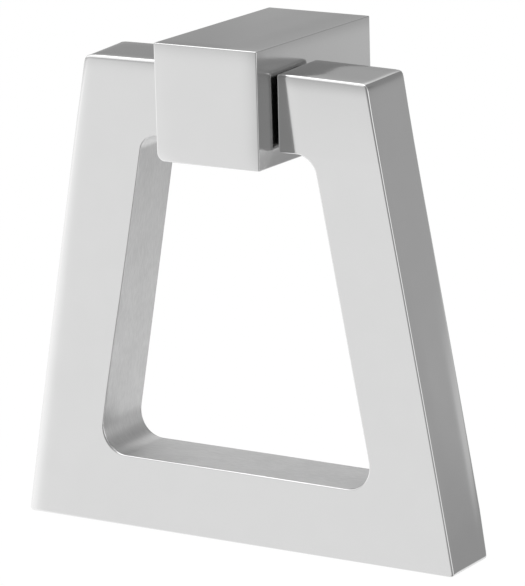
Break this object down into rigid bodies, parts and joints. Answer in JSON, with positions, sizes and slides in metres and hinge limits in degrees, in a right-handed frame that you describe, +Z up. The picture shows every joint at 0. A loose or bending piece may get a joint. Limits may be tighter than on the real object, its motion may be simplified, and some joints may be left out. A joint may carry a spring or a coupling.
{
  "type": "ring pull",
  "caption": "Open trapezoid ring hanging from a square post, swinging on a hidden cross pin; a drawer and cabinet pull screwed on from behind.",
  "frame": {"origin": "centre of the post's flat back face, on the axis of its screw hole, where the pull meets the drawer front", "axes": "+X to the right along the pivot, +Y out of the post's back into the drawer front, +Z up; the ring hangs down and the pull stands out along -Y"},
  "size_m": [0.0656, 0.0278, 0.0665],
  "materials": {
    "polished_plate": "polished",
    "pin_steel": "satin"
  },
  "bodies": {
    "fixed_post": {"post": "polished_plate", "pivot_pin": "pin_steel"},
    "swinging_ring": {"ring": "polished_plate"}
  },
  "joints": [
    {"name": "ring_swing", "type": "hinge", "parent": "fixed_post", "child": "swinging_ring", "pos_m": [0, -0.0194, -0.00035], "axis": [-1, 0, 0], "range_deg": [-14.9, 194.9]}
  ]
}
